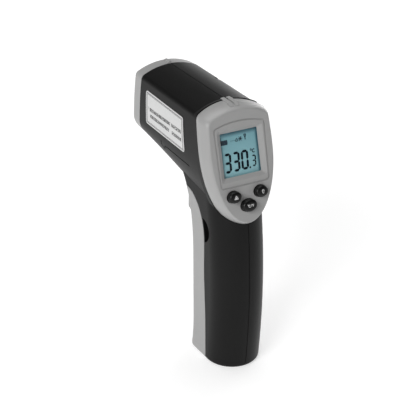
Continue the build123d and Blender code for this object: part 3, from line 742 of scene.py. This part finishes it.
# Leads: thin PVC-insulated wires, each soldered at both ends. A wire's colour follows its place
# across the case: red and black near the middle, yellow and blue outside them.
inner_pair_reach = 0.0022
wire_skin = Finish("wire_skin")
skin_x, _, _ = wire_skin.axes()
skin_grain = wire_skin.noise(1200.0, 2.0)
inner_pair = wire_skin.mix(skin_x > 0.0, (0.012, 0.012, 0.012, 1), (0.34, 0.012, 0.010, 1))
outer_pair = wire_skin.mix(skin_x > 0.0, (0.50, 0.42, 0.03, 1), (0.02, 0.10, 0.34, 1))
wire_colour = wire_skin.mix(abs(skin_x) > inner_pair_reach, inner_pair, outer_pair)
wire_skin.set(
    Base_Color=wire_skin.mix(0.12 * skin_grain, wire_colour, shade(0.3)),
    Roughness=0.36 + 0.2 * skin_grain,
)
wire_skin.wear("battery_leads", "sensor_leads", "laser_leads", "trigger_leads")


# Rating labels: silver foil paper, one stuck on each side of the barrel, with a fine double
# border and two rows of plain unreadable marks.
def edge_through(first, second, along):
    """The straight line through two (along, across) corners, at the place `along`."""
    slope = (second[1] - first[1]) / (second[0] - first[0])
    return first[1] + (along - first[0]) * slope


foil_paper = Finish("foil_paper")
_, foil_y, foil_z = foil_paper.axes()
rear_edge = edge_through((0.1215, 0.0186), (0.1407, 0.0219), foil_z)
front_edge = edge_through((0.1226, 0.0622), (0.1416, 0.0638), foil_z)
lower_edge = edge_through((0.0186, 0.1215), (0.0622, 0.1226), foil_y)
upper_edge = edge_through((0.0219, 0.1407), (0.0638, 0.1416), foil_y)
edge_gap = foil_paper.calculate("MINIMUM", foil_y - rear_edge, front_edge - foil_y)
edge_gap = foil_paper.calculate("MINIMUM", edge_gap, foil_z - lower_edge)
edge_gap = foil_paper.calculate("MINIMUM", edge_gap, upper_edge - foil_z)
outer_line = abs(edge_gap - 0.0010) < 0.00020
inner_line = abs(edge_gap - 0.0016) < 0.00012
letter_pitch = 0.0015
letter_place = foil_paper.vector(0.0, foil_y * 1500.0, foil_z * 1150.0)
letter_blobs = foil_paper.noise(1.0, 1.0, 0.5, letter_place) > 0.39
letter_gaps = (foil_y / letter_pitch).math("FRACT") < 0.84
word_blobs = foil_paper.noise(1.0, 0.0, 0.5, foil_paper.vector(0.0, foil_y * 160.0, 3.0))
text_margin = 0.0026
text_middle_y = 0.04


def text_row(height, slope, half, word_threshold):
    """Marks in a band of the label: blobs cut into letters and words."""
    from_row = foil_z - height - (foil_y - text_middle_y) * slope
    in_row = (abs(from_row) < half) * (edge_gap > text_margin)
    return in_row * letter_gaps * letter_blobs * (word_blobs > word_threshold)


upper_row = text_row(0.1320, -0.002, 0.0010, 0.28)
lower_row = text_row(0.1280, 0.020, 0.00095, 0.36)
marks = foil_paper.calculate("MAXIMUM", upper_row, lower_row)
border = foil_paper.calculate("MAXIMUM", outer_line, inner_line)
ink = foil_paper.calculate("MAXIMUM", marks, border)
foil_grain = foil_paper.noise(800.0, 3.0, 0.6)
foil_colour = foil_paper.mix(foil_grain, shade(0.54), shade(0.68))
foil_paper.set(
    Base_Color=foil_paper.mix(ink, foil_colour, shade(0.012)),
    Metallic=0.25 * (1.0 - ink),
    Roughness=0.34 + 0.12 * foil_grain,
)
foil_paper.bump(foil_grain, 0.000012)
foil_paper.wear("left_label", "right_label")


# Studio floor: a wide white sheet that glows a little, so that it stays even and pale under
# the instrument.
floor_span = 6.0
floor_corners = [
    (x * floor_span, y * floor_span, 0) for x, y in ((-1, -1), (1, -1), (1, 1), (-1, 1))
]
floor_mesh = bpy.data.meshes.new("studio_floor")
floor_mesh.from_pydata(floor_corners, [], [(0, 1, 2, 3)])
studio_floor = bpy.data.objects.new("studio_floor", floor_mesh)
bpy.context.collection.objects.link(studio_floor)
floor_white = Finish("floor_white", Roughness=0.9, Emission_Strength=0.58)
floor_mottle = floor_white.noise(3.0, 2.0)
floor_white.set(
    Base_Color=floor_white.mix(floor_mottle, shade(0.58), shade(0.60)),
    Emission_Color=shade(1.0),
)
floor_mesh.materials.append(floor_white.material)


# Studio sky: soft light from all round, bright at the horizon and dim overhead, and stronger
# from the right and the front.
sky = bpy.data.worlds.new("studio_sky")
bpy.context.scene.world = sky
sky.use_nodes = True
sky_nodes = sky.node_tree.nodes
sky_links = sky.node_tree.links
sky_place = sky_nodes.new("ShaderNodeTexCoord").outputs["Generated"]
sky_parts = sky_nodes.new("ShaderNodeSeparateXYZ")
sky_ramp = sky_nodes.new("ShaderNodeValToRGB")
for stop, (height, level) in zip(sky_ramp.color_ramp.elements, ((0.02, 0.90), (0.27, 0.06))):
    stop.position = height
    stop.color = shade(level)
sky_side = sky_nodes.new("ShaderNodeVectorMath")
sky_side.operation = "DOT_PRODUCT"
sky_side.inputs[1].default_value = (0.90, 0.43, 0.0)
sky_range = sky_nodes.new("ShaderNodeMapRange")
sky_range.interpolation_type = "SMOOTHSTEP"
for socket, value in zip(sky_range.inputs[1:5], (-0.3, 0.9, 0.35, 1.5)):
    socket.default_value = value
sky_background = sky_nodes["Background"]
sky_links.new(sky_place, sky_parts.inputs[0])
sky_links.new(sky_place, sky_side.inputs[0])
sky_links.new(sky_side.outputs["Value"], sky_range.inputs[0])
sky_links.new(sky_parts.outputs[2], sky_ramp.inputs[0])
sky_links.new(sky_ramp.outputs[0], sky_background.inputs[0])
sky_links.new(sky_range.outputs[0], sky_background.inputs[1])


# Studio lights: a large soft key behind the user's left shoulder, a softer one overhead and a
# low fill on the right.
def soft_light(name, place, target, size, power):
    """A square studio light that faces its target."""
    data = bpy.data.lights.new(name, "AREA")
    data.shape = "SQUARE"
    data.size = size
    data.energy = power
    light = bpy.data.objects.new(name, data)
    bpy.context.collection.objects.link(light)
    facing = (Vector(target) - Vector(place)).to_track_quat("-Z", "Y").to_matrix().to_4x4()
    light.matrix_world = Matrix.Translation(place) @ facing


soft_light("key_light", (-1.6, -0.9, 1.2), (0, 0, 0.08), size=1.0, power=33.0)
soft_light("top_light", (0.1, 0.5, 1.9), (0, 0, 0.08), size=1.2, power=17.0)
soft_light("fill_light", (1.5, 0.9, 0.35), (0, 0, 0.10), size=0.9, power=14.0)
